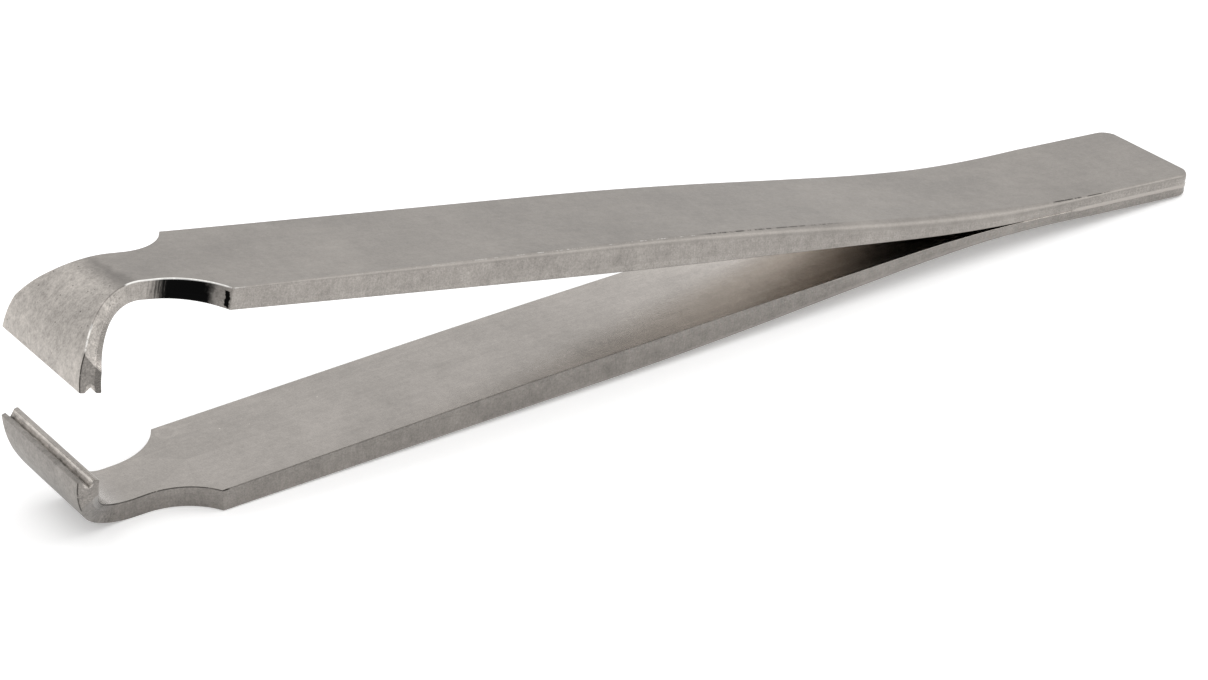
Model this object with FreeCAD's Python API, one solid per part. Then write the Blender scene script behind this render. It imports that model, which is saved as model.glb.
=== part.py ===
"""Hook-jaw print tongs: two sprung steel strips welded together at the tail.

Millimetres, +Z up. The tongs lie on the lower arm: jaws towards -X, welded tail towards +X.
Each strip is drawn in the tongs' own frame first, where z = 0 is the plane the two arms meet on
and x = 0 is the shoulder behind the jaw. The finished tongs are then tilted to lie on the ground.
"""
import FreeCAD
import Part
import math
import os

from FreeCAD import Vector

# Strip, seen from above
ARM_LENGTH = 106.4          # shoulder to rear end
SHOULDER_WIDTH = 11.76      # where the strip ends and the waist begins
REAR_WIDTH = 12.1
REAR_CORNER = 1.4           # radius of the two corners of the tail, seen from above

# Side view of one arm: points (x, height above the meeting plane) and the half-length that each
# inner point is rounded over
INNER_POINTS = [(0.0, 7.86), (34.0, 4.15), (78.6, 0.0), (ARM_LENGTH, 0.0)]
INNER_ROUNDING = [12.0, 8.0]
OUTER_POINTS = [(0.0, 9.74), (46.7, 5.59), (76.0, 1.86), (87.0, 1.12), (ARM_LENGTH, 1.12)]
OUTER_ROUNDING = [10.0, 7.0, 5.0]
FLAT_TAIL_START = 99.5      # from here to the rear end the tail is flat on both faces

# Radius of the long outer edges (x, radius): sharp at the shoulder, well rounded in the hand
EDGE_RADII = [(0.0, 0.06), (64.0, 0.9), (80.0, 0.9), (94.0, 0.35), (ARM_LENGTH, 0.35)]

# Waist and jaw, measured along the middle of the bent strip from the shoulder
NECK_RISE = 6.06            # degrees that the neck climbs towards the bend
NECK_LENGTH = 6.1
BEND_RADIUS = 5.69          # to the middle of the strip
BEND_TURN = 91.25           # degrees that the strip turns through in the bend
LIP_LENGTH = 0.5            # straight end after the bend
JAW_THICKNESS = 1.67
WAIST_POSITION = 5.05
WAIST_WIDTH = 5.54
FLARE_POSITION = 8.37       # where the straight flare would meet the waist if it were not rounded
FLARE_ROUNDING = 2.2
FLARE_SLOPE = 0.65          # growth of the half width along the flare
OUTER_FACET_START = 13.0    # a flat facet takes over from the flare here on the outer face
INNER_FACET_START = 14.0    # and here on the inner face
FACET_SLOPE = 0.25
GROOVE_WIDTH = 0.9
GROOVE_DEPTH = 0.55

# Each arm turns about the inner edge of the cut between it and its tail
FLEX_POSITION = 74.3

# Weld round the edge of the tail
WELD_START = 90.5
WELD_DEPTH = 0.5            # how far the weld metal goes in from the edge of the tail
WELD_HALF_HEIGHT = 0.4

ARM_STEP = 5.0              # spacing of the sections along an arm
JAW_STEP = 1.0              # spacing of the sections along the neck and jaw


def soft_ramp(distance, half_length):
    """0 well before a corner, the distance itself well after it, and a parabola between."""
    if distance <= -half_length:
        return 0.0
    if distance >= half_length:
        return distance
    return (distance + half_length) ** 2 / (4.0 * half_length)


def height_along(points, rounding, x):
    """Height of a row of straight stretches with rounded corners."""
    slopes = [(b[1] - a[1]) / (b[0] - a[0]) for a, b in zip(points, points[1:])]
    height = points[0][1] + slopes[0] * (x - points[0][0])
    for corner, half_length, before, after in zip(points[1:-1], rounding, slopes, slopes[1:]):
        height += (after - before) * soft_ramp(x - corner[0], half_length)
    return height


def arm_half_width(x):
    """Half the strip's width, which grows evenly from the shoulder to the rear end."""
    return (SHOULDER_WIDTH + (REAR_WIDTH - SHOULDER_WIDTH) * x / ARM_LENGTH) / 2.0


def edge_radius(x):
    """Radius of the long outer edges of an arm."""
    for (start, start_radius), (end, end_radius) in zip(EDGE_RADII, EDGE_RADII[1:]):
        if x <= end:
            return start_radius + (end_radius - start_radius) * (x - start) / (end - start)
    return EDGE_RADII[-1][1]


def arm_station(x):
    """Inner and outer point of the arm's section, which leans with the neck at the shoulder."""
    inner_height = height_along(INNER_POINTS, INNER_ROUNDING, x)
    outer_height = height_along(OUTER_POINTS, OUTER_ROUNDING, x)
    lean = math.radians(NECK_RISE) * (1.0 - min(x / FLEX_POSITION, 1.0))
    thickness = (outer_height - inner_height) * math.cos(lean)
    inner = Vector(x, 0.0, inner_height)
    return inner, inner + Vector(math.sin(lean), 0.0, math.cos(lean)) * thickness


def bend_length():
    """Length of the bend along the middle of the strip."""
    return BEND_RADIUS * math.radians(BEND_TURN)


def jaw_length():
    """Length of the neck, bend and lip along the middle of the strip."""
    return NECK_LENGTH + bend_length() + LIP_LENGTH


def jaw_station(along):
    """Inner and outer point of the jaw's section at a distance along the strip from the shoulder."""
    inner, outer = arm_station(0.0)
    turned = min(max(along - NECK_LENGTH, 0.0), bend_length()) / BEND_RADIUS
    rise = math.radians(NECK_RISE)
    start_normal = Vector(math.sin(rise), 0.0, math.cos(rise))
    neck_end = (inner + outer) * 0.5 + Vector(-math.cos(rise), 0.0, math.sin(rise)) * NECK_LENGTH
    bend_centre = neck_end - start_normal * BEND_RADIUS
    heading = rise - turned
    direction = Vector(-math.cos(heading), 0.0, math.sin(heading))
    normal = Vector(math.sin(heading), 0.0, math.cos(heading))
    straight = min(along - NECK_LENGTH, 0.0) + max(along - NECK_LENGTH - bend_length(), 0.0)
    middle = bend_centre + normal * BEND_RADIUS + direction * straight
    neck_share = min(along / NECK_LENGTH, 1.0)
    arm_thickness = (outer - inner).Length
    thickness = arm_thickness + (JAW_THICKNESS - arm_thickness) * neck_share
    return middle - normal * (thickness / 2.0), middle + normal * (thickness / 2.0)


def scooped_half_width(along):
    """Half width on the arc that runs from the shoulder in to the waist."""
    growth = (SHOULDER_WIDTH - WAIST_WIDTH) / 2.0
    radius = (WAIST_POSITION ** 2 + growth ** 2) / (2.0 * growth)
    return WAIST_WIDTH / 2.0 + radius - math.sqrt(radius ** 2 - (along - WAIST_POSITION) ** 2)


def flared_half_width(along):
    """Half width on the straight flare from the waist out to the jaw."""
    return WAIST_WIDTH / 2.0 + FLARE_SLOPE * soft_ramp(along - FLARE_POSITION, FLARE_ROUNDING)


def jaw_half_width(along, facet_start):
    """Half the width of the neck and jaw: a scoop in to the waist, a flare out, and a flat facet."""
    if along <= WAIST_POSITION:
        return scooped_half_width(along)
    if along <= facet_start:
        return flared_half_width(along)
    return flared_half_width(facet_start) + FACET_SLOPE * (along - facet_start)


def evenly(first, last, step):
    """Evenly spaced positions from first to last, no further apart than step."""
    count = int(math.ceil((last - first) / step))
    return [first + (last - first) * number / count for number in range(count + 1)]


def sideways(point, distance):
    """The point moved along Y."""
    return Vector(point.x, distance, point.z)


def arm_section(x):
    """Closed outline of the arm at x: square inner corners, rounded outer ones."""
    inner, outer = arm_station(x)
    half = arm_half_width(x)
    radius = edge_radius(x)
    up = (outer - inner).normalize()
    below_corner = outer - up * radius
    mid_corner = outer - up * (radius * (1.0 - math.sqrt(0.5)))
    mid_half = half - radius * (1.0 - math.sqrt(0.5))
    edges = [
        Part.LineSegment(sideways(inner, -half), sideways(inner, half)),
        Part.LineSegment(sideways(inner, half), sideways(below_corner, half)),
        Part.Arc(sideways(below_corner, half), sideways(mid_corner, mid_half),
                 sideways(outer, half - radius)),
        Part.LineSegment(sideways(outer, half - radius), sideways(outer, radius - half)),
        Part.Arc(sideways(outer, radius - half), sideways(mid_corner, -mid_half),
                 sideways(below_corner, -half)),
        Part.LineSegment(sideways(below_corner, -half), sideways(inner, -half)),
    ]
    return Part.Wire([edge.toShape() for edge in edges])


def jaw_section(along):
    """Closed outline of the neck or jaw, with straight sides between its inner and outer face."""
    inner, outer = jaw_station(along)
    inner_half = jaw_half_width(along, INNER_FACET_START)
    outer_half = jaw_half_width(along, OUTER_FACET_START)
    corners = [sideways(inner, -inner_half), sideways(inner, inner_half),
               sideways(outer, outer_half), sideways(outer, -outer_half)]
    return Part.makePolygon(corners + corners[:1])


def through_sections(sections):
    """Solid that passes smoothly through the sections."""
    return Part.makeLoft(sections, True, False)


def jaw_groove():
    """V-shaped bar that cuts the groove across the end of the jaw."""
    inner, outer = jaw_station(jaw_length())
    middle = (inner + outer) * 0.5
    across = (outer - inner).normalize()
    into = Vector(across.z, 0.0, -across.x)
    overshoot = 0.2
    slope = GROOVE_WIDTH / 2.0 / GROOVE_DEPTH
    mouth = GROOVE_WIDTH / 2.0 + slope * overshoot
    corners = [middle - into * overshoot + across * mouth, middle + into * GROOVE_DEPTH,
               middle - into * overshoot - across * mouth]
    reach = SHOULDER_WIDTH
    outline = Part.makePolygon([sideways(corner, -reach) for corner in corners + corners[:1]])
    return Part.Face(outline).extrude(Vector(0.0, 2.0 * reach, 0.0))


def sprung_arm():
    """Upper arm from the flexing cut forwards, with its waist, bend and grooved jaw."""
    arm = through_sections([arm_section(x) for x in evenly(0.0, FLEX_POSITION, ARM_STEP)])
    jaw_parts = []
    limits = [0.0, OUTER_FACET_START, INNER_FACET_START, jaw_length()]
    for start, end in zip(limits, limits[1:]):
        sections = [jaw_section(along) for along in evenly(start, end, JAW_STEP)]
        jaw_parts.append(through_sections(sections))
    return arm.fuse(jaw_parts).cut(jaw_groove())


def tail_outline(start, inset, height):
    """Closed outline of the tail seen from above, moved in from its three outer sides."""
    rear = ARM_LENGTH - inset
    front_half = arm_half_width(start) - inset
    half = arm_half_width(ARM_LENGTH) - inset
    radius = REAR_CORNER - inset
    diagonal = radius * (1.0 - math.sqrt(0.5))

    def at(x, y):
        return Vector(x, y, height)

    edges = [
        Part.LineSegment(at(start, -front_half), at(rear - radius, -half)),
        Part.Arc(at(rear - radius, -half), at(rear - diagonal, diagonal - half),
                 at(rear, radius - half)),
        Part.LineSegment(at(rear, radius - half), at(rear, half - radius)),
        Part.Arc(at(rear, half - radius), at(rear - diagonal, half - diagonal),
                 at(rear - radius, half)),
        Part.LineSegment(at(rear - radius, half), at(start, front_half)),
        Part.LineSegment(at(start, front_half), at(start, -front_half)),
    ]
    return Part.Wire([edge.toShape() for edge in edges])


def weld_metal():
    """Flush weld along the two sides and the rear of the joint, wedge-shaped towards the inside."""
    slab = Part.Face(tail_outline(WELD_START, 0.0, -WELD_HALF_HEIGHT))
    weld = slab.extrude(Vector(0.0, 0.0, 2.0 * WELD_HALF_HEIGHT))
    for side in (-1.0, 1.0):
        parent = Part.makeLoft([tail_outline(WELD_START, WELD_DEPTH, 0.0),
                                tail_outline(WELD_START, 0.0, side * WELD_HALF_HEIGHT)], True, True)
        weld = weld.cut(parent)
    return weld


def flat_tail():
    """Flat rear end of an arm with its rounded long edges."""
    x_step = Vector(ARM_LENGTH - FLAT_TAIL_START, 0.0, 0.0)
    wide = Part.Face(arm_section(FLAT_TAIL_START)).extrude(x_step)
    overshoot = 1.0
    outline = Part.Face(tail_outline(FLAT_TAIL_START, 0.0, -overshoot))
    return wide.common(outline.extrude(Vector(0.0, 0.0, OUTER_POINTS[-1][1] + 2.0 * overshoot)))


def arm_tail(weld):
    """Upper arm behind the flexing cut, with the weld's place cut out of it."""
    curved = through_sections([arm_section(x) for x in evenly(FLEX_POSITION, FLAT_TAIL_START, ARM_STEP)])
    return curved.fuse(flat_tail()).cut(weld)


def mirrored(shape):
    """The same piece on the other side of the meeting plane."""
    return shape.mirror(Vector(0.0, 0.0, 0.0), Vector(0.0, 0.0, 1.0))


def resting_tilt():
    """Degrees between the meeting plane and the ground, touched by the lower bend and the rear edge."""
    inner, outer = jaw_station(NECK_LENGTH)
    outward = (outer - inner).normalize()
    bend_centre = (inner + outer) * 0.5 - outward * BEND_RADIUS
    rear_drop = bend_centre.z - OUTER_POINTS[-1][1]
    distance = ARM_LENGTH - bend_centre.x
    outside_radius = BEND_RADIUS + JAW_THICKNESS / 2.0
    centre_distance = math.hypot(rear_drop, distance)
    return math.degrees(math.atan2(rear_drop, distance) + math.asin(outside_radius / centre_distance))


def laid_on_ground(shapes):
    """Tilt every shape to its resting pose, and put the bottom centre of them all at the origin."""
    tilt = FreeCAD.Rotation(Vector(0.0, 1.0, 0.0), resting_tilt())
    for shape in shapes.values():
        shape.rotate(Vector(0.0, 0.0, 0.0), tilt.Axis, resting_tilt())
    box = Part.makeCompound(list(shapes.values())).optimalBoundingBox(False, False)
    shift = Vector(-(box.XMin + box.XMax) / 2.0, -(box.YMin + box.YMax) / 2.0, -box.ZMin)
    for shape in shapes.values():
        shape.translate(shift)
    return tilt, shift


def main():
    """Build every piece, lay the tongs down, and write one STEP file for each piece."""
    arm = sprung_arm()
    weld = weld_metal()
    tail = arm_tail(weld)
    pieces = {
        "upper_arm": arm,
        "lower_arm": mirrored(arm),
        "upper_tail": tail,
        "lower_tail": mirrored(tail),
        "weld_bead": weld,
    }
    tilt, shift = laid_on_ground(pieces)
    os.makedirs("parts", exist_ok=True)
    for name, shape in pieces.items():
        shape.exportStep("parts/" + name + ".step")
        print(name, len(shape.Solids), "solid, valid", shape.isValid(), "volume", round(shape.Volume, 2))
    print("tilt", round(resting_tilt(), 4), "shift", [round(value, 4) for value in shift])
    for name, side in (("upper", 1.0), ("lower", -1.0)):
        flex = arm_station(FLEX_POSITION)[0]
        point = tilt.multVec(Vector(flex.x, 0.0, side * flex.z)) + shift
        print(name, "arm flexes about", [round(value, 4) for value in point])


main()
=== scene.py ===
"""Sprung steel hook-jaw tongs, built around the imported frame.

Each arm is one strip of satin steel that runs from the welded tail to the grooved lip of its jaw.
The strip is worked out in the tongs' own frame first, where z = 0 is the plane the arms meet on and
x = 0 is the shoulder behind the jaw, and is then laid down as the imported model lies.
"""
import bpy
import math
import numpy as np
from mathutils import Matrix, Vector


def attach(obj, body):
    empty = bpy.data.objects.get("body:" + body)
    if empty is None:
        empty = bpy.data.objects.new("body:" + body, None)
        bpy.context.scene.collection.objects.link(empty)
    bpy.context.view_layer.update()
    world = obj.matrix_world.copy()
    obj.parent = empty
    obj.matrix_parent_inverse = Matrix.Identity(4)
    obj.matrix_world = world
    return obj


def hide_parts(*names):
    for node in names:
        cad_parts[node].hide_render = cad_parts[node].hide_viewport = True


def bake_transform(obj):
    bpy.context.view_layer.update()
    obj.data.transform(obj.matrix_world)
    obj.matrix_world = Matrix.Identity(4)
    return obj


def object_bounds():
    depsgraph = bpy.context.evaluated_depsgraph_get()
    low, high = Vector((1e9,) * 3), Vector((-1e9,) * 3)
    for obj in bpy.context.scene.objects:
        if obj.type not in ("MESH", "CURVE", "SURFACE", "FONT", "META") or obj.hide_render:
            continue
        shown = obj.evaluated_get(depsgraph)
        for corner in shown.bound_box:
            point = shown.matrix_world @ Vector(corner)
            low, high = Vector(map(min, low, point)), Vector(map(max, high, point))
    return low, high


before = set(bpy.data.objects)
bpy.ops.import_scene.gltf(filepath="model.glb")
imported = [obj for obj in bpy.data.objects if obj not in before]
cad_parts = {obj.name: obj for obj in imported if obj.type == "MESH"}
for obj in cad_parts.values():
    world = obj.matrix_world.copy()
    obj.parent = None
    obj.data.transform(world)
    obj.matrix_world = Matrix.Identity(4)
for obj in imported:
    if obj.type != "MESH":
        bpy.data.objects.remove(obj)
CAD_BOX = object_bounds()

bl_info = {
    "name": "Hook-jaw tongs",
    "version": (1, 0, 0),
    "blender": (4, 5, 0),
    "location": "3D View > Sidebar > Tongs",
    "description": "Builds a pair of sprung steel tongs around the packed frame",
    "category": "Object",
}

MM = 0.001

# Side view of one arm: points (x, height above the meeting plane) in millimetres, and the half-length
# that each inner point is rounded over
ARM_LENGTH = 106.4
INNER_POINTS = ((0.0, 7.86), (34.0, 4.15), (78.6, 0.0), (ARM_LENGTH, 0.0))
INNER_ROUNDING = (12.0, 8.0)
OUTER_POINTS = ((0.0, 9.74), (46.7, 5.59), (76.0, 1.86), (87.0, 1.12), (ARM_LENGTH, 1.12))
OUTER_ROUNDING = (10.0, 7.0, 5.0)

# Neck and jaw, measured along the middle of the strip from the shoulder, in millimetres
NECK_RISE = math.radians(6.06)
NECK_LENGTH = 6.1
BEND_TURN = math.radians(91.25)
LIP_LENGTH = 0.5
WAIST_POSITION = 5.05
FLARE_POSITION = 8.37
FLARE_ROUNDING = 2.2
FLARE_SLOPE = 0.65
OUTER_FACET_START = 13.0
INNER_FACET_START = 14.0
FACET_SLOPE = 0.25
FLEX_POSITION = 74.3

WELD_START = 90.5
WELD_HALF_HEIGHT = 0.4
WELD_TAPER = 1.2
WELD_REACH = 0.3


class StripSizes(bpy.types.PropertyGroup):
    """Sizes of the bent strip."""

    shoulder_width: bpy.props.FloatProperty(
        name="Shoulder width", description="Width of the strip behind the waist",
        default=11.76 * MM, unit="LENGTH")
    rear_width: bpy.props.FloatProperty(
        name="Rear width", description="Width of the strip at the welded tail",
        default=12.1 * MM, unit="LENGTH")
    waist_width: bpy.props.FloatProperty(
        name="Waist width", description="Narrowest width of the neck",
        default=5.54 * MM, unit="LENGTH")
    jaw_thickness: bpy.props.FloatProperty(
        name="Jaw thickness", description="Thickness of the strip in the jaw",
        default=1.67 * MM, unit="LENGTH")
    bend_radius: bpy.props.FloatProperty(
        name="Bend radius", description="Radius of the jaw's bend, to the middle of the strip",
        default=5.69 * MM, unit="LENGTH")
    groove_width: bpy.props.FloatProperty(
        name="Groove width", description="Width of the V groove across the lip",
        default=0.9 * MM, unit="LENGTH")
    groove_depth: bpy.props.FloatProperty(
        name="Groove depth", description="Depth of the V groove across the lip",
        default=0.55 * MM, unit="LENGTH")
    hand_edge: bpy.props.FloatProperty(
        name="Hand edge radius", description="Radius of the long outer edges where a hand holds them",
        default=1.0 * MM, unit="LENGTH")
    rear_edge: bpy.props.FloatProperty(
        name="Rear edge radius", description="Radius of the long outer edges at the rear end",
        default=0.35 * MM, unit="LENGTH")
    broken_edge: bpy.props.FloatProperty(
        name="Broken edge", description="Radius that takes the sharpness off every other edge",
        default=0.09 * MM, unit="LENGTH")
    rear_corner: bpy.props.FloatProperty(
        name="Rear corner radius", description="Radius of the two corners of the tail, seen from above",
        default=1.4 * MM, unit="LENGTH")
    weld_height: bpy.props.FloatProperty(
        name="Weld height", description="How far the ground weld stands out from the tail's edge",
        default=0.035 * MM, unit="LENGTH")


class SteelFinish(bpy.types.PropertyGroup):
    """Colours and wear of the steel, and the colours of its painted highlight and painted dark reflection.
    """

    steel: bpy.props.FloatVectorProperty(
        name="Steel colour", description="Colour of the satin steel",
        default=(0.462, 0.43, 0.398), size=3, min=0.0, max=1.0, subtype="COLOR")
    # Near-black of the painted dark reflection on the near wall of the upper waist, also used for the burr
    # at its shoulder corner.
    painted_reflection_and_burr: bpy.props.FloatVectorProperty(
        name="Burnish colour", description="Colour of the burnished patch on the upper waist",
        default=(0.003, 0.003, 0.003), size=3, min=0.0, max=1.0, subtype="COLOR")
    # Near-white of the painted highlight along the upper arm's near edges, standing in for the light their
    # rounded edges catch.
    wear_and_highlight: bpy.props.FloatVectorProperty(
        name="Worn edge colour", description="Colour of an edge that use has polished",
        default=(0.92, 0.91, 0.88), size=3, min=0.0, max=1.0, subtype="COLOR")
    burr: bpy.props.FloatVectorProperty(
        name="Burr colour", description="Colour of the dark line along an edge that was never dressed",
        default=(0.03, 0.027, 0.024), size=3, min=0.0, max=1.0, subtype="COLOR")
    weld: bpy.props.FloatVectorProperty(
        name="Weld colour", description="Colour of the ground weld",
        default=(0.395, 0.367, 0.34), size=3, min=0.0, max=1.0, subtype="COLOR")
    roughness: bpy.props.FloatProperty(
        name="Roughness", description="Roughness of the outer faces",
        default=0.46, min=0.0, max=1.0, subtype="FACTOR")
    inner_roughness: bpy.props.FloatProperty(
        name="Inner roughness", description="Roughness of the inner faces",
        default=0.2, min=0.0, max=1.0, subtype="FACTOR")
    grain: bpy.props.FloatProperty(
        name="Grain", description="Strength of the blasted grain",
        default=0.4, min=0.0, max=1.0, subtype="FACTOR")


class StageLook(bpy.types.PropertyGroup):
    """Floor, light and camera."""

    floor: bpy.props.FloatVectorProperty(
        name="Floor colour", description="Colour of the plain floor",
        default=(0.92, 0.92, 0.92), size=3, min=0.0, max=1.0, subtype="COLOR")
    floor_glow: bpy.props.FloatProperty(
        name="Floor glow", description="Light that comes up through the floor, as on a light table",
        default=0.25, min=0.0, max=1.0)
    azimuth: bpy.props.FloatProperty(
        name="Azimuth", description="Direction the camera looks from, round the tongs",
        default=math.radians(-36.479), subtype="ANGLE")
    elevation: bpy.props.FloatProperty(
        name="Elevation", description="Height of the camera above the horizon",
        default=math.radians(28.133), subtype="ANGLE")
    roll: bpy.props.FloatProperty(
        name="Roll", description="Turn of the camera about its own line of sight",
        default=math.radians(1.481), subtype="ANGLE")
    distance: bpy.props.FloatProperty(
        name="Distance", description="Distance from the camera to its target",
        default=277.64 * MM, unit="LENGTH")
    target: bpy.props.FloatVectorProperty(
        name="Target", description="Point that the camera looks at",
        default=(-6.2151 * MM, -0.6837 * MM, 1.0614 * MM), size=3, subtype="XYZ", unit="LENGTH")
    lens: bpy.props.FloatProperty(
        name="Lens", description="Focal length in millimetres", default=95.364)


# ---------------------------------------------------------------------------------------------
# Shape of the strip
# ---------------------------------------------------------------------------------------------

def soft_ramp(distance, half_length):
    """0 well before a corner, the distance itself well after it, and a parabola between."""
    rounded = (distance + half_length) ** 2 / (4.0 * half_length)
    return np.where(distance <= -half_length, 0.0, np.where(distance >= half_length, distance, rounded))


def height_along(points, rounding, x):
    """Height of a row of straight stretches: the first slope carried on, plus each corner's change of
    slope times a soft ramp from that corner."""
    points = np.array(points) * MM
    slopes = np.diff(points[:, 1]) / np.diff(points[:, 0])
    height = points[0, 1] + slopes[0] * (x - points[0, 0])
    for corner, half_length, turn in zip(points[1:-1], rounding, np.diff(slopes)):
        height = height + turn * soft_ramp(x - corner[0], half_length * MM)
    return height


def jaw_length(size):
    """Length of the neck, bend and lip along the middle of the strip."""
    return (NECK_LENGTH + LIP_LENGTH) * MM + size.bend_radius * BEND_TURN


def arm_line(x):
    """Inner point, direction through the strip and thickness on the arm. The section leans with the
    neck at the shoulder and stands square at the flexing cut."""
    inner = height_along(INNER_POINTS, INNER_ROUNDING, x)
    outer = height_along(OUTER_POINTS, OUTER_ROUNDING, x)
    lean = NECK_RISE * (1.0 - np.clip(x / (FLEX_POSITION * MM), 0.0, 1.0))
    return x, inner, np.sin(lean), np.cos(lean), (outer - inner) * np.cos(lean)


def jaw_line(size, along):
    """Inner point, direction through the strip and thickness on the neck and jaw: a straight neck,
    then a circular arc, then a straight lip, each point set off square from the middle line."""
    start_x, start_z, lean_x, lean_z, start_thickness = arm_line(np.zeros(1))
    neck = NECK_LENGTH * MM
    arc_length = size.bend_radius * BEND_TURN
    turned = np.clip((along - neck) / size.bend_radius, 0.0, BEND_TURN)
    heading = NECK_RISE - turned
    centre_x = (start_x + lean_x * start_thickness / 2.0
                - math.cos(NECK_RISE) * neck - math.sin(NECK_RISE) * size.bend_radius)
    centre_z = (start_z + lean_z * start_thickness / 2.0
                + math.sin(NECK_RISE) * neck - math.cos(NECK_RISE) * size.bend_radius)
    straight = np.minimum(along - neck, 0.0) + np.maximum(along - neck - arc_length, 0.0)
    middle_x = centre_x + np.sin(heading) * size.bend_radius - np.cos(heading) * straight
    middle_z = centre_z + np.cos(heading) * size.bend_radius + np.sin(heading) * straight
    share = np.clip(along / neck, 0.0, 1.0)
    thickness = start_thickness + (size.jaw_thickness - start_thickness) * share
    inner_x = middle_x - np.sin(heading) * thickness / 2.0
    inner_z = middle_z - np.cos(heading) * thickness / 2.0
    return inner_x, inner_z, np.sin(heading), np.cos(heading), thickness


def strip_line(size, place):
    """Arm line where place is positive, behind the shoulder, and jaw line where it is negative."""
    on_arm = arm_line(np.maximum(place, 0.0))
    on_jaw = jaw_line(size, np.maximum(-place, 0.0))
    return [np.where(place >= 0.0, arm, jaw) for arm, jaw in zip(on_arm, on_jaw)]


def arm_half_width(size, place):
    """Half the strip's width on the arm: grows evenly, and ends in a quarter circle at each corner."""
    even = (size.shoulder_width + (size.rear_width - size.shoulder_width) * place / (ARM_LENGTH * MM)) / 2.0
    into_corner = np.clip(place - (ARM_LENGTH * MM - size.rear_corner), 0.0, size.rear_corner)
    return even - (size.rear_corner - np.sqrt(size.rear_corner ** 2 - into_corner ** 2))


def jaw_half_width(size, along, share):
    """Half the strip's width on the neck and jaw: a circular scoop in to the waist, then a straight
    flare with a rounded start, then a flat facet. The facet starts later on the inner face, where the
    share of the way through the strip is 0, than on the outer face, where it is 1."""
    reach = WAIST_POSITION * MM
    growth = (size.shoulder_width - size.waist_width) / 2.0
    radius = (reach ** 2 + growth ** 2) / (2.0 * growth)
    offset = np.minimum(np.abs(along - reach), reach)
    scoop = size.waist_width / 2.0 + radius - np.sqrt(radius ** 2 - offset ** 2)
    facet_start = (INNER_FACET_START + (OUTER_FACET_START - INNER_FACET_START) * share) * MM
    flare_reach = soft_ramp(np.minimum(along, facet_start) - FLARE_POSITION * MM, FLARE_ROUNDING * MM)
    flare = size.waist_width / 2.0 + FLARE_SLOPE * flare_reach
    facet = flare + FACET_SLOPE * np.maximum(along - facet_start, 0.0)
    return np.where(along <= reach, scoop, facet)


def half_width(size, place, share):
    """Half the strip's width at a place along it and a share of the way through it."""
    return np.where(place >= 0.0, arm_half_width(size, place), jaw_half_width(size, -place, share))


def edge_radius(size, place):
    """Radius of the long outer edges: sharp on the jaw, growing along the arm, less at the rear."""
    stops = np.array([0.0, 1.5, 21.0, 42.0, 63.0, 80.0, 94.0]) * MM
    growth = np.array([0.0, 0.05, 0.35, 0.6, 0.95, 1.0])
    radii = size.broken_edge + (size.hand_edge - size.broken_edge) * growth
    return np.interp(place, stops, np.append(radii, size.rear_edge))


def end_inset(size, place):
    """How far the section draws in within a broken edge's radius of each end of the strip."""
    radius = size.broken_edge
    from_end = np.minimum(place + jaw_length(size), ARM_LENGTH * MM - place)
    short = np.clip(radius - from_end, 0.0, radius)
    return radius - np.sqrt(radius ** 2 - short ** 2)


def quarter_steps(length, count):
    """Positions that crowd towards the end of a stretch as the sine of equal angles does."""
    return length * np.sin(np.linspace(0.0, math.pi / 2.0, count))


def strip_places(size):
    """Places of the sections from the lip to the rear end, closer where the outline turns."""
    lip = -jaw_length(size)
    rear = ARM_LENGTH * MM
    crease = np.array([-0.25, -0.1, -0.04, 0.0, 0.04, 0.1, 0.25]) * MM
    pieces = [
        lip + size.broken_edge - quarter_steps(size.broken_edge, 5),
        lip + size.broken_edge + np.array([0.05, 0.12]) * MM,
        np.arange(lip + 0.3 * MM, -0.3 * MM, 0.13 * MM),
        crease,
        np.arange(0.5 * MM, rear - size.rear_corner, 0.7 * MM),
        rear - size.rear_corner + quarter_steps(size.rear_corner - size.broken_edge, 14),
        rear - size.broken_edge + quarter_steps(size.broken_edge, 5),
    ]
    places = np.unique(np.round(np.concatenate(pieces), 8))
    return places[np.concatenate([[True], np.diff(places) > 0.004 * MM])]


CORNER_STEPS = np.linspace(0.0, 1.0, 7)
ACROSS_STEPS = np.linspace(-1.0, 1.0, 19)
THROUGH_SHARES = np.array([0.03, 0.17, 0.194, 0.218, 0.35, 0.475, 0.5,
                           0.525, 0.65, 0.782, 0.806, 0.83, 0.97])


def across_lines(half, radius, margin):
    """Sideways places of the grid lines: corner lines at both edges and even ones between."""
    flat = half - radius
    corner = flat + radius * CORNER_STEPS[:, None]
    middle = (flat - margin) * ACROSS_STEPS[:, None]
    return np.concatenate([-corner[:, ::-1], middle, corner], axis=1)


def through_lines(thickness, inner_radius, outer_radius):
    """Places of the grid lines through the strip: corner lines at both faces, and between them lines
    that fall on the groove's edges in the jaw."""
    inner = inner_radius[:, None] * CORNER_STEPS
    core = (thickness - inner_radius - outer_radius)[:, None]
    middle = inner_radius[:, None] + core * THROUGH_SHARES
    outer = (thickness - outer_radius)[:, None] + outer_radius[:, None] * CORNER_STEPS
    return np.concatenate([inner, middle, outer], axis=1)


def rounded_corner(sideways, through, corner_side, corner_through, radius):
    """Moves the square corner's grid onto a quarter disc: a point keeps its direction from the
    corner's centre, and its larger coordinate becomes its distance from it."""
    side = np.abs(sideways) - corner_side
    rise = through - corner_through
    larger = np.maximum(side, rise)
    distance = np.maximum(np.hypot(side, rise), 1e-12)
    scale = np.where((side > 0.0) & (rise > 0.0) & (radius > 0.0), larger / distance, 1.0)
    return np.sign(sideways) * (corner_side + side * scale), corner_through + rise * scale


def groove_depth(size, through, thickness):
    """Depth of the V groove in the lip: falls evenly from its middle to its two edges."""
    off_middle = np.abs(through - thickness / 2.0)
    return size.groove_depth * np.clip(1.0 - off_middle / (size.groove_width / 2.0), 0.0, 1.0)


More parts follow.
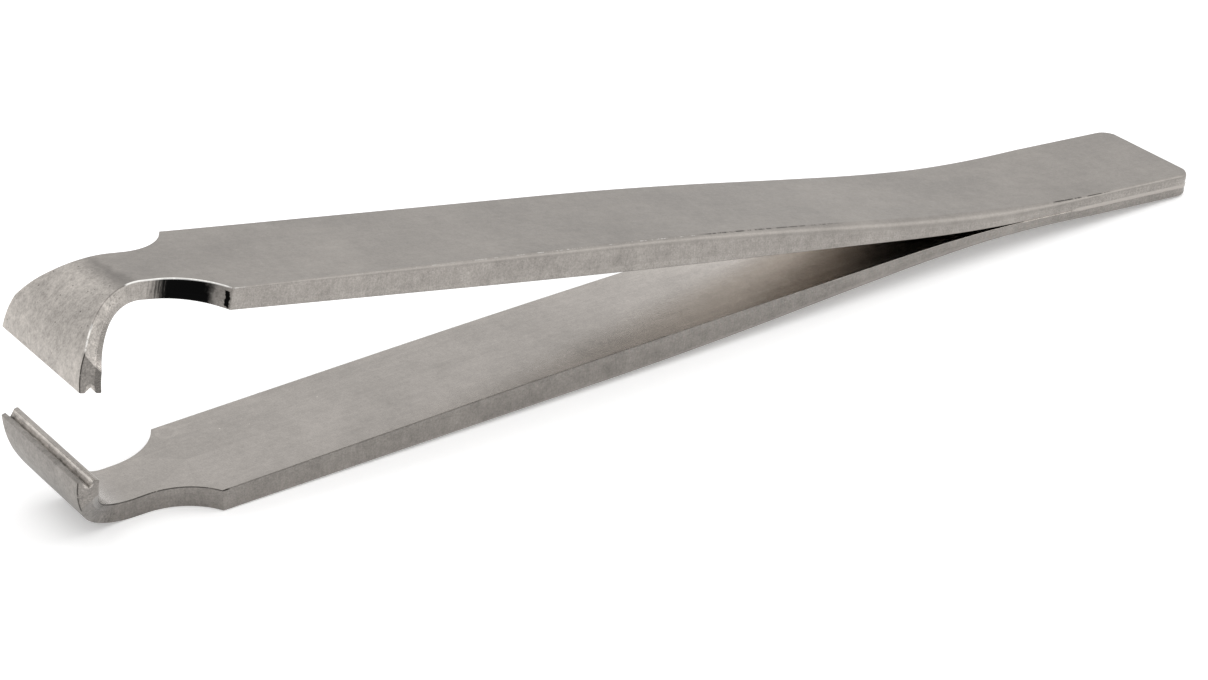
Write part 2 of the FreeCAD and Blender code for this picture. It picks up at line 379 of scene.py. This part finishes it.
def strip_surface(size, side):
    """Closed surface of one arm. A block of grid lines (along, across, through) is bent onto the
    strip, its corners are rounded, its lip is drawn back by the groove, and only its skin is kept.
    side is 1 for the upper arm and -1 for the lower one, which mirrors it in the meeting plane."""
    places = strip_places(size)[:, None, None]
    inset = end_inset(size, places)
    thickness = strip_line(size, places)[4]
    inner_radius = np.full_like(places, size.broken_edge)
    outer_radius = edge_radius(size, places)
    through = through_lines(thickness[:, 0, 0], inner_radius[:, 0, 0], outer_radius[:, 0, 0])[:, None, :]
    share = through / thickness
    half = half_width(size, places, share) - inset
    sideways = across_lines(half, inner_radius + (outer_radius - inner_radius) * share, 0.06 * MM)
    depth = np.broadcast_to(through, sideways.shape)
    sideways, depth = rounded_corner(sideways, depth, half - outer_radius, thickness - outer_radius,
                                     outer_radius)
    sideways, from_outside = rounded_corner(sideways, thickness - depth, half - inner_radius,
                                            thickness - inner_radius, inner_radius)
    middle = thickness / 2.0
    depth = middle + (middle - from_outside) * (1.0 - inset / middle)
    lip_zone = size.groove_depth + 0.2 * MM
    near_lip = np.clip(1.0 - (places + jaw_length(size)) / lip_zone, 0.0, 1.0)
    place = places + near_lip * groove_depth(size, depth, thickness)
    inner_x, inner_z, lean_x, lean_z, _ = strip_line(size, place)
    points = np.stack([inner_x + lean_x * depth, sideways, side * (inner_z + lean_z * depth)], axis=-1)
    place_map = np.stack([place, sideways, depth], axis=-1)
    marks = finish_marks(size, half, thickness, outer_radius, sideways, depth, near_lip)
    return skin_of(points, place_map, marks)


def finish_marks(size, half, thickness, outer_radius, sideways, depth, near_lip):
    """Measures for the finish: how nearly a point is on a side wall, how far it is from the nearest
    long edge (the line where a rounded edge begins on the outer face), and how deep in the groove."""
    to_side = half - np.abs(sideways)
    flank = np.clip(1.0 - to_side / (0.05 * MM), 0.0, 1.0)
    crest = np.maximum(outer_radius - 0.2 * MM, 0.0)
    outer_edge = np.maximum(np.abs(to_side - crest), thickness - depth)
    inner_edge = np.maximum(to_side, depth)
    to_edge = np.minimum(outer_edge, inner_edge)
    groove = near_lip * groove_depth(size, depth, thickness) / size.groove_depth
    return np.stack([flank, to_edge, groove], axis=-1)


def skin_of(points, *measures):
    """Vertices, faces and measures of the outer skin of a block of grid points."""
    count = points.shape[:3]
    inside = np.zeros(count, dtype=bool)
    inside[1:-1, 1:-1, 1:-1] = True
    numbers = np.full(count, -1)
    numbers[~inside] = np.arange(np.count_nonzero(~inside))
    sheets = [numbers[:, :, -1], numbers[:, ::-1, 0], numbers[:, 0, :], numbers[:, -1, ::-1],
              numbers[0, :, ::-1], numbers[-1, :, :]]
    faces = np.concatenate([sheet_faces(sheet) for sheet in sheets])
    return points[~inside], faces, [measure[~inside] for measure in measures]


def sheet_faces(numbers):
    """Four-sided faces between neighbouring numbers of a grid."""
    return np.stack([numbers[:-1, :-1], numbers[1:, :-1], numbers[1:, 1:], numbers[:-1, 1:]],
                    axis=-1).reshape(-1, 4)


def volume_of(points, faces):
    """Signed volume inside four-sided faces: a sixth of the triple products of their triangles."""
    a, b, c, d = (points[faces[:, corner]] for corner in range(4))
    return (np.einsum("ij,ij->i", a, np.cross(b, c)) + np.einsum("ij,ij->i", a, np.cross(c, d))).sum() / 6.0


# ---------------------------------------------------------------------------------------------
# From the tongs' own frame to where they lie
# ---------------------------------------------------------------------------------------------

def resting_tilt(size):
    """Angle between the meeting plane and the ground: the ground touches the lower bend's circle and
    the bottom edge of the rear end."""
    centre_x, centre_z = bend_centre(size)
    rear_drop = centre_z - OUTER_POINTS[-1][1] * MM
    distance = ARM_LENGTH * MM - centre_x
    outside_radius = size.bend_radius + size.jaw_thickness / 2.0
    return math.atan2(rear_drop, distance) + math.asin(outside_radius / math.hypot(rear_drop, distance))


def bend_centre(size):
    """Centre of the upper jaw's bend in the tongs' own frame."""
    inner_x, inner_z, lean_x, lean_z, thickness = jaw_line(size, np.array([NECK_LENGTH * MM]))
    middle_x = inner_x + lean_x * thickness / 2.0
    middle_z = inner_z + lean_z * thickness / 2.0
    centre_x = middle_x[0] - lean_x[0] * size.bend_radius
    centre_z = middle_z[0] - lean_z[0] * size.bend_radius
    return float(centre_x), float(centre_z)


def laid_down(size, points):
    """Points of the tongs' own frame turned by the resting tilt, and set so that the lower bend
    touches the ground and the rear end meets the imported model's far side."""
    tilt = resting_tilt(size)
    turn = np.array([[math.cos(tilt), 0.0, math.sin(tilt)], [0.0, 1.0, 0.0],
                     [-math.sin(tilt), 0.0, math.cos(tilt)]])
    centre_x, centre_z = bend_centre(size)
    lowest = (turn @ np.array([centre_x, 0.0, -centre_z]))[2] - size.bend_radius - size.jaw_thickness / 2.0
    furthest = (turn @ np.array([ARM_LENGTH * MM, 0.0, OUTER_POINTS[-1][1] * MM]))[0]
    shift = np.array([CAD_BOX[1].x - furthest, 0.0, -lowest])
    return np.asarray(points) @ turn.T + shift


def new_piece(name, points, polygons, attributes, material):
    """Mesh object with its place in its mesh, smooth, with its measures stored on its vertices."""
    mesh = bpy.data.meshes.new(name)
    mesh.from_pydata(points.tolist(), [], polygons)
    for attribute_name, values in attributes.items():
        attribute = mesh.attributes.new(attribute_name, "FLOAT_VECTOR", "POINT")
        attribute.data.foreach_set("vector", np.ascontiguousarray(values, dtype=np.float32).ravel())
    mesh.shade_smooth()
    mesh.materials.append(material)
    mesh.update()
    piece = bpy.data.objects.new(name, mesh)
    bpy.context.scene.collection.objects.link(piece)
    return piece


def outward(points, faces):
    """Faces turned round together if they point inwards, as on the mirrored lower arm."""
    return faces if volume_of(points, faces) > 0.0 else faces[:, ::-1]


def weld_path(size):
    """Points (x, y) of the tail's edge, from the front of one side round the rear end to the front of
    the other: straight sides, a quarter circle at each corner and a straight rear end."""
    rear = ARM_LENGTH * MM
    radius = size.rear_corner
    half = size.rear_width / 2.0
    start_half = float(arm_half_width(size, WELD_START * MM))
    side_x = np.linspace(WELD_START * MM, rear - radius, 60)
    side_half = np.linspace(start_half, half, 60)
    angle = np.linspace(0.0, math.pi / 2.0, 16)[1:-1]
    corner_x = rear - radius + radius * np.sin(angle)
    corner_half = half - radius + radius * np.cos(angle)
    end_half = np.linspace(half - radius, radius - half, 40)
    x = np.concatenate([side_x, corner_x, np.full(40, rear), corner_x[::-1], side_x[::-1]])
    y = -np.concatenate([side_half, corner_half, end_half, -corner_half[::-1], -side_half[::-1]])
    return x, y


def weld_surface(size):
    """Closed surface of the ground weld: a rippled ellipse carried along the tail's edge, shrinking at
    both ends as a half circle does."""
    x, y = weld_path(size)
    forward = np.stack([np.gradient(x), np.gradient(y)], axis=1)
    forward /= np.linalg.norm(forward, axis=1)[:, None]
    away = np.stack([forward[:, 1], -forward[:, 0]], axis=1)
    travelled = np.concatenate([[0.0], np.cumsum(np.hypot(np.diff(x), np.diff(y)))])
    from_end = np.minimum(travelled, travelled[-1] - travelled)
    into_taper = 1.0 - np.clip(from_end / (WELD_TAPER * MM), 0.0, 1.0)
    taper = np.maximum(np.sqrt(np.clip(1.0 - into_taper ** 2, 0.0, 1.0)), 0.02)
    ripple = 1.0 + 0.08 * np.sin(travelled / (0.55 * MM)) + 0.05 * np.sin(travelled / (0.23 * MM) + 1.0)
    turn = np.linspace(0.0, 2.0 * math.pi, 25)[:-1]
    reach = WELD_REACH * MM
    out = (size.weld_height * ripple * taper)[:, None] - reach + reach * np.cos(turn)[None, :]
    up = (WELD_HALF_HEIGHT * MM * taper * (0.9 + 0.1 * ripple))[:, None] * np.sin(turn)[None, :]
    points = np.stack([x[:, None] + away[:, 0:1] * out, y[:, None] + away[:, 1:2] * out, up], axis=-1)
    tips = np.stack([points[0].mean(axis=0), points[-1].mean(axis=0)])
    measures = np.stack([np.broadcast_to(travelled[:, None], up.shape), up, out], axis=-1)
    measures = np.concatenate([measures.reshape(-1, 3), np.zeros((2, 3))])
    return np.concatenate([points.reshape(-1, 3), tips]), tube_polygons(*up.shape), measures


def tube_polygons(rings, around):
    """Polygons of a closed tube: four-sided ones between its rings, and a fan of triangles at each end
    to the two points that follow the rings."""
    numbers = np.arange(rings * around).reshape(rings, around)
    polygons = sheet_faces(np.concatenate([numbers, numbers[:, :1]], axis=1)).tolist()
    for ring, tip in ((numbers[0], rings * around), (numbers[-1][::-1], rings * around + 1)):
        polygons += np.stack([ring, np.roll(ring, -1), np.full(around, tip)], axis=1).tolist()
    return polygons


# ---------------------------------------------------------------------------------------------
# Finishes
# ---------------------------------------------------------------------------------------------

class Value:
    """A number that varies over a surface. Python's operators on it add the Math nodes."""

    def __init__(self, finish, socket):
        self.finish = finish
        self.socket = socket

    def math(self, operation, *others):
        """A Math node on this number and the others."""
        node = self.finish.node("ShaderNodeMath", {"operation": operation},
                                {number: value for number, value in enumerate((self, *others))})
        return Value(self.finish, node.outputs[0])

    def __add__(self, other):
        return self.math("ADD", other)

    __radd__ = __add__

    def __mul__(self, other):
        return self.math("MULTIPLY", other)

    __rmul__ = __mul__

    def __sub__(self, other):
        return self.math("SUBTRACT", other)

    def __rsub__(self, other):
        return (self * -1.0) + other

    def above(self, low, high):
        """0 below low, 1 above high and a smooth rise between."""
        node = self.finish.node("ShaderNodeMapRange", {"interpolation_type": "SMOOTHSTEP"},
                                {"Value": self, "From Min": low, "From Max": high})
        return Value(self.finish, node.outputs["Result"])

    def below(self, low, high):
        """1 below low, 0 above high and a smooth fall between."""
        return 1.0 - self.above(low, high)

    def between(self, low, high, soft):
        """1 from low to high, 0 outside, with soft edges."""
        return self.above(low - soft, low) * self.below(high, high + soft)


class Finish:
    """A material and the few kinds of node that the finishes are made of."""

    def __init__(self, name):
        self.material = bpy.data.materials.new(name)
        self.material.use_nodes = True
        self.tree = self.material.node_tree
        self.tree.nodes.clear()

    def node(self, kind, settings=None, inputs=None):
        """Adds a node: its settings first, then the values or links of its sockets."""
        made = self.tree.nodes.new(kind)
        for name, value in (settings or {}).items():
            setattr(made, name, value)
        for name, value in (inputs or {}).items():
            if isinstance(value, Value):
                value = value.socket
            if isinstance(value, bpy.types.NodeSocket):
                self.tree.links.new(value, made.inputs[name])
            else:
                made.inputs[name].default_value = value
        return made

    def measure(self, name):
        """A stored measure of the piece, as a vector socket."""
        return self.node("ShaderNodeAttribute", {"attribute_name": name}).outputs["Vector"]

    def parts(self, vector):
        """The three numbers of a vector."""
        split = self.node("ShaderNodeSeparateXYZ", None, {0: vector})
        return [Value(self, output) for output in split.outputs]

    def scaled(self, vector, by):
        """A vector with each of its numbers multiplied."""
        return self.node("ShaderNodeVectorMath", {"operation": "MULTIPLY"}, {0: vector, 1: by}).outputs[0]

    def noise(self, vector, scale, detail=2.0, roughness=0.5, distortion=0.0):
        """Noise about 0.5, with one unit of the vector divided into scale patches."""
        made = self.node("ShaderNodeTexNoise", None, {"Vector": vector, "Scale": scale, "Detail": detail,
                                                     "Roughness": roughness, "Distortion": distortion})
        return Value(self, made.outputs["Fac"])

    def cells(self, vector, scale):
        """Distance to the nearest of scattered points, and a random number for each of them."""
        made = self.node("ShaderNodeTexVoronoi", None, {"Vector": vector, "Scale": scale})
        chance = self.parts(made.outputs["Color"])[0]
        return Value(self, made.outputs["Distance"]), chance

    def blended(self, share, first, second):
        """Colour between two colours."""
        made = self.node("ShaderNodeMix", {"data_type": "RGBA", "clamp_factor": True},
                         {0: share, 6: first, 7: second})
        return made.outputs[2]

    def shaded(self, colour, share):
        """Colour multiplied by a grey that is the share."""
        grey = self.node("ShaderNodeCombineColor", None, {0: share, 1: share, 2: share}).outputs[0]
        made = self.node("ShaderNodeMix", {"data_type": "RGBA", "blend_type": "MULTIPLY"},
                         {0: 1.0, 6: colour, 7: grey})
        return made.outputs[2]

    def surface(self, fixed, varying):
        """Ends the material in a shader with fixed numbers and linked sockets."""
        shader = self.node("ShaderNodeBsdfPrincipled", None, {**fixed, **varying})
        self.node("ShaderNodeOutputMaterial", None, {"Surface": shader.outputs[0]})
        return self.material


def opaque(colour):
    """Colour with its fourth number."""
    return (*colour, 1.0)


class StripMeasures:
    """Where a point is on the strip, in millimetres: along it (below 0 on the neck and jaw), across it
    (below 0 on the near side) and through it from the inner face. The others are shares from 0 to 1."""

    def __init__(self, steel):
        self.place = steel.scaled(steel.measure("strip_place"), (1000.0, 1000.0, 1000.0))
        self.along, self.across, self.through = steel.parts(self.place)
        self.flank, to_edge, self.groove = steel.parts(steel.measure("strip_marks"))
        self.to_edge = to_edge * 1000.0
        self.outer = self.through.above(0.5, 0.6)
        self.near = self.across.below(-0.02, 0.0)
        self.hook = self.along.below(-8.6, -7.4)
        self.neck_wall = self.flank * self.along.below(-0.4, -0.1)
        self.facet = self.flank * (self.through * 0.6 - self.along).above(13.95, 14.05)


class SteelPatterns:
    """Uneven patterns of the steel, each about 0.5: clouds and blotches down to the finest grain, then
    lines along the strip, ground strokes on its sides and the breaks in its dark edge lines and painted
    edge highlights."""

    def __init__(self, steel, place):
        self.cloud = steel.noise(place, 0.13, 4.0, 0.6)
        self.blotch = steel.noise(place, 0.8, 4.0, 0.6)
        self.patina = steel.noise(place, 2.6, 4.0, 0.65)
        self.grain = steel.noise(place, 7.0, 3.0, 0.7)
        self.fine = steel.noise(place, 17.0, 2.0, 0.6)
        self.brushing = steel.noise(steel.scaled(place, (0.25, 9.0, 9.0)), 1.0, 3.0, 0.65)
        self.streaks = steel.noise(steel.scaled(place, (0.05, 1.6, 1.6)), 1.0, 2.0, 0.5)
        self.strokes = steel.noise(steel.scaled(place, (7.0, 1.0, 0.7)), 1.0, 4.0, 0.7, 0.6)
        self.broken = steel.noise(steel.scaled(place, (1.3, 0.6, 0.6)), 1.0, 4.0, 0.75)


def satin_steel(name, look, upper):
    """Blasted and lightly brushed stainless strip, with ground side walls, pits, smudges and dark edge
    lines over the grain of its faces, and painted highlights on its edges, painted light and shade, and a
    painted dark reflection."""
    steel = Finish(name)
    at = StripMeasures(steel)
    wear_and_highlight = SteelPatterns(steel, at.place)
    pits = jaw_pits(steel, at, wear_and_highlight)
    brightness = steel_brightness(at, wear_and_highlight, pits)
    colour_arm = upper_arm_colour if upper else lower_arm_colour
    height = (wear_and_highlight.grain - 0.5) * 0.9 + (wear_and_highlight.fine - 0.5) * 0.6 + (wear_and_highlight.brushing - 0.5) * 0.5 - pits * 2.0
    height = height + (wear_and_highlight.strokes - 0.5) * at.flank * 1.2
    rough = look.inner_roughness + at.outer * (look.roughness - look.inner_roughness)
    rough = rough + (wear_and_highlight.cloud - 0.5) * 0.1 + (wear_and_highlight.streaks - 0.5) * 0.12
    rough = rough + (wear_and_highlight.grain - 0.5) * 0.12 - at.flank * 0.08
    bump = steel.node("ShaderNodeBump", None, {"Strength": look.grain, "Distance": 0.02 * MM,
                                               "Height": height})
    return steel.surface({"Metallic": 1.0}, {"Base Color": colour_arm(steel, look, at, wear_and_highlight, brightness),
                                             "Roughness": rough, "Normal": bump.outputs[0]})


def jaw_pits(steel, at, wear_and_highlight):
    """Tiny pits on the outer face of the jaw, crowded near the start of the bend."""
    distance, chance = steel.cells(at.place, 2.3)
    bend = at.along.between(-11.5, -8.5, 2.0) * 0.2 * at.across.above(-5.0, -2.0)
    crowd = (wear_and_highlight.blotch + bend).above(0.52, 0.64)
    return distance.below(0.09, 0.2) * chance.above(0.5, 0.55) * at.hook * crowd * at.outer


def steel_brightness(at, wear_and_highlight, pits):
    """Brightness that both arms share: the patterns over the whole strip, more of them on the jaw and
    the side walls, painted light on the inner face that grows towards the tail, and dark lines at the
    groove's edges with painted shade in its bottom."""
    cloud, blotch, patina = wear_and_highlight.cloud - 0.5, wear_and_highlight.blotch - 0.5, wear_and_highlight.patina - 0.5
    grain, strokes = wear_and_highlight.grain - 0.5, wear_and_highlight.strokes - 0.5
    brightness = 1.0 + cloud * 0.5 + blotch * 0.25 + patina * 0.3 + grain * 0.45
    brightness = brightness + (wear_and_highlight.brushing - 0.5) * 0.12 + (wear_and_highlight.streaks - 0.5) * 0.18
    brightness = brightness + (patina * 0.6 + blotch * 0.3 + grain * 0.5) * at.hook * at.outer
    brightness = brightness + (blotch * 0.3 + grain * 0.6 + strokes * 0.45) * at.flank
    # Painted light: the inner faces are lightened, more towards the tail, where the arms close in and shade
    # the gap between them.
    inside = (1.0 - at.outer) * (1.0 - at.flank)
    brightness = brightness * (1.0 + inside * (0.22 + at.along.above(34.0, 64.0) * 0.55))
    brightness = brightness * (1.0 - pits * 0.55)
    # Painted shade in the bottom of the groove, and darker lines along its edges.
    groove_lines_and_shade = at.groove.between(0.001, 0.12, 0.02) + at.groove.between(0.8, 1.0, 0.1)
    return brightness * (1.0 - groove_lines_and_shade * 0.35) + (strokes * 1.6 + blotch) * at.groove.above(0.0, 0.1)


def upper_arm_colour(steel, look, at, wear_and_highlight, brightness):
    """Colour of the upper arm: a lighter jaw past a soft crease, a dark facet and shoulder, a painted
    highlight along the long near edge, whole on the neck and broken elsewhere, and a dark line along that
    edge in places."""
    crease = (at.along + at.across * 0.12 + (wear_and_highlight.blotch - 0.5)).between(-8.3, -7.6, 0.9)
    crease = crease * at.outer * (1.0 - at.flank)
    brightness = brightness * (1.0 - at.facet * at.near * 0.52)
    brightness = brightness * (1.0 + at.hook * at.outer * 0.4 - crease * 0.26)
    shoulder = at.along.above(-1.6, -1.2) * 0.4
    brightness = brightness * (1.0 + at.neck_wall * (0.2 - shoulder) - at.flank * 0.08)
    colour = upper_marks(steel, look, at, wear_and_highlight, steel.shaded(opaque(look.steel), brightness))
    # Painted highlight: near-white is blended onto the near outer edge, whole along the neck and in pieces
    # on the jaw and along the arm's crest, for the light those rounded edges catch.
    jaw_highlight_stretch = at.along.between(-12.6, -11.4, 0.4) * wear_and_highlight.broken.above(0.4, 0.5)
    highlight_stretch = at.along.between(-7.4, -0.3, 0.3) + jaw_highlight_stretch
    rim_highlight = at.to_edge.below(0.05, 0.15) * at.outer * highlight_stretch * (0.45 + wear_and_highlight.broken * 0.5)
    crest = at.along.between(0.0, 44.0, 6.0) * wear_and_highlight.broken.above(0.5, 0.6)
    crest = at.to_edge.below(0.02, 0.07) * at.outer * crest
    colour = steel.blended((rim_highlight + crest * 0.7) * at.near, colour, opaque(look.wear_and_highlight))
    dull_jaw = at.along.below(-13.1, -12.8) * (wear_and_highlight.broken + 0.1).above(0.4, 0.5)
    dull_arm = at.along.between(48.0, 60.0, 3.0) + at.along.between(89.0, 94.0, 2.0)
    dull = at.along.between(-11.4, -7.6, 0.3) * 0.5 + dull_jaw + dull_arm * wear_and_highlight.broken.above(0.42, 0.52)
    line = at.to_edge.below(0.04, 0.1) * at.outer * at.near * dull * 0.9
    return steel.blended(line, colour, opaque(look.burr))


def upper_marks(steel, look, at, wear_and_highlight, colour):
    """A near-black patch painted on the near wall of the upper waist as a dark reflection, streaky towards
    the jaw, and the dark burr that stands up its shoulder corner."""
    streaky = steel.noise(steel.scaled(at.place, (5.0, 0.8, 0.5)), 1.0, 4.0, 0.75) - 0.5
    soft = steel.noise(at.place, 1.8, 3.0, 0.6) - 0.5
    # Painted reflection: the near-black patch on the near waist wall stands in for a dark reflection there.
    patch = (at.along + streaky * 2.2).above(-6.0, -4.2) * (at.along + soft * 0.8).below(-1.4, -0.3)
    colour = steel.blended(patch * at.neck_wall * at.near, colour, opaque(look.painted_reflection_and_burr))
    wander = (steel.noise(steel.scaled(at.place, (0.0, 0.0, 1.6)), 1.0, 3.0, 0.7) - 0.5) * 0.35
    burr = (at.along + wander).between(-0.3, -0.14, 0.06)
    burr = burr * (at.through + wear_and_highlight.broken).between(0.75, 1.9, 0.1)
    return steel.blended(burr * at.flank * at.near, colour, opaque(look.painted_reflection_and_burr))


def lower_arm_colour(steel, look, at, wear_and_highlight, brightness):
    """Colour of the lower arm: painted shade on the side walls and on the jaw's outer face, light specks
    and a faint round stain on the inner face, and a dark broken line along its inner near edge."""
    # Painted shade: the side walls are darkened for the shadowed floor they reflect, and the jaw's outer
    # face is darkened more towards the lip, down by the floor.
    brightness = brightness * (1.0 - at.flank * 0.22)
    shade = at.hook * at.outer * (1.0 - at.flank)
    brightness = brightness * (1.0 - shade * (0.12 + at.along.above(-14.5, -9.5) * 0.3))
    speck_distance, speck_chance = steel.cells(at.place, 0.42)
    specks = speck_distance.below(0.02, 0.045) * speck_chance.above(0.66, 0.68)
    brightness = brightness + specks * 0.5 * (1.0 - at.flank)
    centre = steel.node("ShaderNodeVectorMath", {"operation": "DISTANCE"},
                        {0: at.place, 1: (0.8, 4.7, 0.0)}).outputs["Value"]
    ring = (Value(steel, centre) + (wear_and_highlight.blotch - 0.5) * 0.5).between(0.7, 0.95, 0.15)
    brightness = brightness + ring * (1.0 - at.flank) * (1.0 - at.outer) * 0.06
    colour = steel.shaded(opaque(look.steel), brightness)
    dull = (at.along.between(-12.5, 0.4, 0.3) + at.along.between(0.4, 84.0, 0.5) * 0.45) * (1.0 - at.outer)
    dull = (dull + at.along.below(-13.1, -12.8) * at.outer) * (wear_and_highlight.broken + 0.1).above(0.42, 0.56)
    line = at.to_edge.below(0.04, 0.11) * at.near * dull * 0.85
    return steel.blended(line, colour, opaque(look.burr))


def ground_weld(look):
    """Weld metal ground flush: fine lines across it, a little darker where it is not quite filled."""
    weld = Finish("weld_metal_ground")
    place = weld.scaled(weld.measure("strip_place"), (1000.0, 1000.0, 1000.0))
    lines = weld.noise(weld.scaled(place, (6.0, 0.6, 0.6)), 1.0, 3.0, 0.6)
    cloud = weld.noise(place, 0.7, 4.0, 0.6)
    pores, chance = weld.cells(place, 1.4)
    pore = (1.0 - pores.above(0.05, 0.12)) * chance.above(0.75, 0.8)
    brightness = 1.0 + (lines - 0.5) * 0.12 + (cloud - 0.5) * 0.12 - pore * 0.35
    height = (lines - 0.5) * 0.7 + (cloud - 0.5) * 0.5 - pore * 1.5
    bump = weld.node("ShaderNodeBump", None, {"Strength": 0.35, "Distance": 0.02 * MM, "Height": height})
    return weld.surface({"Metallic": 1.0},
                        {"Base Color": weld.shaded(opaque(look.weld), brightness),
                         "Roughness": 0.42 + (lines - 0.5) * 0.14, "Normal": bump.outputs[0]})


def pale_floor(look):
    """Matt pale paper with a barely visible tooth."""
    floor = Finish("pale_floor")
    solid = floor.node("ShaderNodeTexCoord").outputs["Object"]
    tooth = floor.noise(solid, 900.0, 2.0)
    colour = floor.shaded(opaque(look.floor), 1.0 + (tooth - 0.5) * 0.01)
    fixed = {"Roughness": 0.8, "Specular IOR Level": 0.2, "Emission Color": opaque(look.floor),
             "Emission Strength": look.floor_glow}
    return floor.surface(fixed, {"Base Color": colour})


# ---------------------------------------------------------------------------------------------
# Operators
# ---------------------------------------------------------------------------------------------

def build_arm(context, name, side, nodes):
    """One arm as a single bent strip from the tail to its jaw."""
    size = context.scene.tongs_sizes
    points, faces, (place_map, marks) = strip_surface(size, side)
    points = laid_down(size, points)
    material = satin_steel(name + "_satin_steel", context.scene.tongs_finish, side > 0)
    attributes = {"strip_place": place_map, "strip_marks": marks}
    arm = new_piece(name, points, outward(points, faces).tolist(), attributes, material)
    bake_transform(arm)
    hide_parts(*nodes)


class TONGS_OT_upper_arm(bpy.types.Operator):
    """Build the upper arm with its grooved jaw"""

    bl_idname = "tongs.upper_arm"
    bl_label = "Upper arm"

    def execute(self, context):
        build_arm(context, "upper_arm_strip", 1.0, ("upper_arm", "upper_tail"))
        return {"FINISHED"}


class TONGS_OT_lower_arm(bpy.types.Operator):
    """Build the lower arm with its grooved jaw"""

    bl_idname = "tongs.lower_arm"
    bl_label = "Lower arm"

    def execute(self, context):
        build_arm(context, "lower_arm_strip", -1.0, ("lower_arm", "lower_tail"))
        return {"FINISHED"}


class TONGS_OT_weld(bpy.types.Operator):
    """Build the weld round the edge of the tail"""

    bl_idname = "tongs.weld"
    bl_label = "Weld"

    def execute(self, context):
        size = context.scene.tongs_sizes
        points, polygons, measures = weld_surface(size)
        weld = new_piece("weld_run", laid_down(size, points), polygons, {"strip_place": measures},
                         ground_weld(context.scene.tongs_finish))
        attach(weld, "joined_tail")
        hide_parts("weld_bead")
        return {"FINISHED"}


def area_light(name, place, width, height, power):
    """Rectangular soft light that faces the tongs."""
    data = bpy.data.lights.new(name, "AREA")
    data.shape = "RECTANGLE"
    data.size = width
    data.size_y = height
    data.energy = power
    light = bpy.data.objects.new(name, data)
    light.location = place
    light.rotation_euler = (-Vector(place)).to_track_quat("-Z", "Y").to_euler()
    bpy.context.scene.collection.objects.link(light)


class TONGS_OT_stage(bpy.types.Operator):
    """Set up the floor, the soft light and the camera"""

    bl_idname = "tongs.stage"
    bl_label = "Floor, light and camera"

    def execute(self, context):
        look = context.scene.tongs_stage
        self.add_floor(look)
        self.add_lights(context)
        self.add_camera(context, look)
        return {"FINISHED"}

    def add_floor(self, look):
        reach = 3.0
        mesh = bpy.data.meshes.new("floor")
        corners = [(-reach, -reach, 0.0), (reach, -reach, 0.0), (reach, reach, 0.0), (-reach, reach, 0.0)]
        mesh.from_pydata(corners, [], [(0, 1, 2, 3)])
        mesh.materials.append(pale_floor(look))
        floor = bpy.data.objects.new("floor", mesh)
        bpy.context.scene.collection.objects.link(floor)

    def add_lights(self, context):
        world = bpy.data.worlds.new("soft_room")
        world.use_nodes = True
        backdrop = world.node_tree.nodes["Background"]
        backdrop.inputs["Color"].default_value = (1.0, 1.0, 1.0, 1.0)
        backdrop.inputs["Strength"].default_value = 1.0
        context.scene.world = world
        area_light("overhead_softbox", (0.05, 0.1, 0.9), 1.2, 1.2, 2.4)
        area_light("right_strip", (0.5, -0.28, 0.42), 0.18, 0.3, 0.5)

    def add_camera(self, context, look):
        azimuth, elevation = look.azimuth, look.elevation
        back = Vector((math.sin(azimuth) * math.cos(elevation), -math.cos(azimuth) * math.cos(elevation),
                       math.sin(elevation)))
        data = bpy.data.cameras.new("view")
        data.sensor_width = 36.0
        data.lens = look.lens
        data.clip_start = 0.01
        data.clip_end = 20.0
        camera = bpy.data.objects.new("view", data)
        turn = (-back).to_track_quat("-Z", "Y").to_matrix() @ Matrix.Rotation(look.roll, 3, "Z")
        camera.matrix_world = Matrix.Translation(Vector(look.target) + back * look.distance) @ turn.to_4x4()
        context.scene.collection.objects.link(camera)
        context.scene.camera = camera
        context.scene.view_settings.view_transform = "Standard"


class TONGS_PT_build(bpy.types.Panel):
    """Buttons that build the tongs and their stage"""

    bl_idname = "TONGS_PT_build"
    bl_label = "Tongs"
    bl_space_type = "VIEW_3D"
    bl_region_type = "UI"
    bl_category = "Tongs"

    def draw(self, context):
        for operator in BUILD_ORDER:
            self.layout.operator(operator.bl_idname)
        for group in (context.scene.tongs_sizes, context.scene.tongs_finish, context.scene.tongs_stage):
            box = self.layout.box()
            for name in group.bl_rna.properties.keys():
                if name not in {"rna_type", "name"}:
                    box.prop(group, name)


BUILD_ORDER = (TONGS_OT_upper_arm, TONGS_OT_lower_arm, TONGS_OT_weld, TONGS_OT_stage)
CLASSES = (StripSizes, SteelFinish, StageLook, *BUILD_ORDER, TONGS_PT_build)


def register():
    """Registers the classes and hangs their settings on the scene."""
    for kind in CLASSES:
        bpy.utils.register_class(kind)
    bpy.types.Scene.tongs_sizes = bpy.props.PointerProperty(type=StripSizes)
    bpy.types.Scene.tongs_finish = bpy.props.PointerProperty(type=SteelFinish)
    bpy.types.Scene.tongs_stage = bpy.props.PointerProperty(type=StageLook)


def unregister():
    """Takes the settings off the scene and unregisters the classes."""
    del bpy.types.Scene.tongs_stage
    del bpy.types.Scene.tongs_finish
    del bpy.types.Scene.tongs_sizes
    for kind in reversed(CLASSES):
        bpy.utils.unregister_class(kind)


def main():
    """Builds everything in order."""
    register()
    bpy.ops.tongs.upper_arm()
    bpy.ops.tongs.lower_arm()
    bpy.ops.tongs.weld()
    bpy.ops.tongs.stage()


if __name__ == "__main__":
    main()
